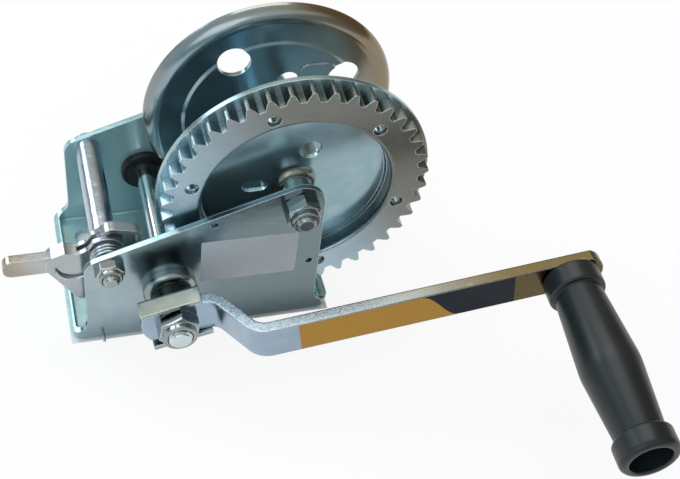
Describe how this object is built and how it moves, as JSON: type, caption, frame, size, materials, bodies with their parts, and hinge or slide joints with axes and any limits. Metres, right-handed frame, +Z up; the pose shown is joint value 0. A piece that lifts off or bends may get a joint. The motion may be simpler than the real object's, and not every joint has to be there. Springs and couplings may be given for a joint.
{
  "type": "hand winch",
  "caption": "Hand winch of folded steel: flanged rope drum with a ring gear, pinion shaft with a joggled crank arm and turning grip, and a sprung ratchet pawl on a tie bolt.",
  "frame": {"origin": "middle of the base's underside, in the plane it is bolted down on", "axes": "+X along the base towards the drum, +Y from the crank side to the far side, +Z up"},
  "size_m": [0.2903, 0.2557, 0.1552],
  "materials": {
    "zinc_plate": "bright zinc plate on folded sheet",
    "zinc_flange": "bright zinc plate on pressed sheet",
    "zinc_gear": "zinc plate on blanked teeth",
    "zinc_arm": "zinc plate on flat bar",
    "zinc_tube": "zinc plate on drawn tube",
    "zinc_pawl": "zinc plate on a stamping",
    "plain_steel": "turned steel",
    "bright_fastener": "bright plated fastener",
    "spring_wire": "drawn spring wire",
    "nut_ring": "natural nylon",
    "black_nylon": "moulded black nylon",
    "grip_moulding": "moulded black plastic with a soft sheen"
  },
  "bodies": {
    "frame": {"frame": "zinc_plate", "drum_axle_bolt": "bright_fastener", "drum_axle_nut": "bright_fastener", "drum_axle_nut_ring": "nut_ring", "drum_axle_sleeve": "plain_steel", "drum_near_spacer": "plain_steel", "drum_far_spacer": "plain_steel", "tie_bolt": "bright_fastener", "tie_nut": "bright_fastener", "tie_nut_ring": "nut_ring", "tie_tube": "zinc_tube", "far_shaft_bush": "black_nylon", "near_bush_housing": "zinc_plate", "near_shaft_bush": "black_nylon", "pawl_spring": "spring_wire"},
    "drum": {"drum_gear": "zinc_gear", "gear_rivets": "plain_steel", "near_flange": "zinc_flange", "drum_barrel": "zinc_tube", "far_flange": "zinc_flange", "near_hub_bush": "black_nylon", "far_hub_bush": "black_nylon"},
    "crank": {"drive_pinion": "zinc_gear", "pinion_shaft": "plain_steel", "shaft_circlip": "spring_wire", "shaft_collar": "plain_steel", "crank_clip": "zinc_plate", "crank_arm": "zinc_arm", "crank_nut": "bright_fastener", "crank_nut_ring": "nut_ring", "grip_pin": "plain_steel", "grip_washer": "plain_steel"},
    "grip": {"grip": "grip_moulding"},
    "pawl": {"pawl": "zinc_pawl"}
  },
  "joints": [
    {"name": "drum_spin", "type": "hinge", "parent": "frame", "child": "drum", "pos_m": [0.04716, 0, 0.08567], "axis": [0, 1, 0], "continuous": true},
    {"name": "crank_spin", "type": "hinge", "parent": "frame", "child": "crank", "pos_m": [-0.0179, 0, 0.037], "axis": [0, 1, 0], "continuous": true},
    {"name": "grip_spin", "type": "hinge", "parent": "crank", "child": "grip", "pos_m": [0.17454, -0.09401, 0.06851], "axis": [0.0207, 0.9998, 0.0034], "continuous": true},
    {"name": "pawl_flip", "type": "hinge", "parent": "frame", "child": "pawl", "pos_m": [-0.0477, 0, 0.0569], "axis": [0, 1, 0], "range_deg": [-25, 4], "deforming": ["pawl_spring"]}
  ],
  "couplings": [
    {"joint": "crank_spin", "follows": "drum_spin", "ratio": -4}
  ]
}
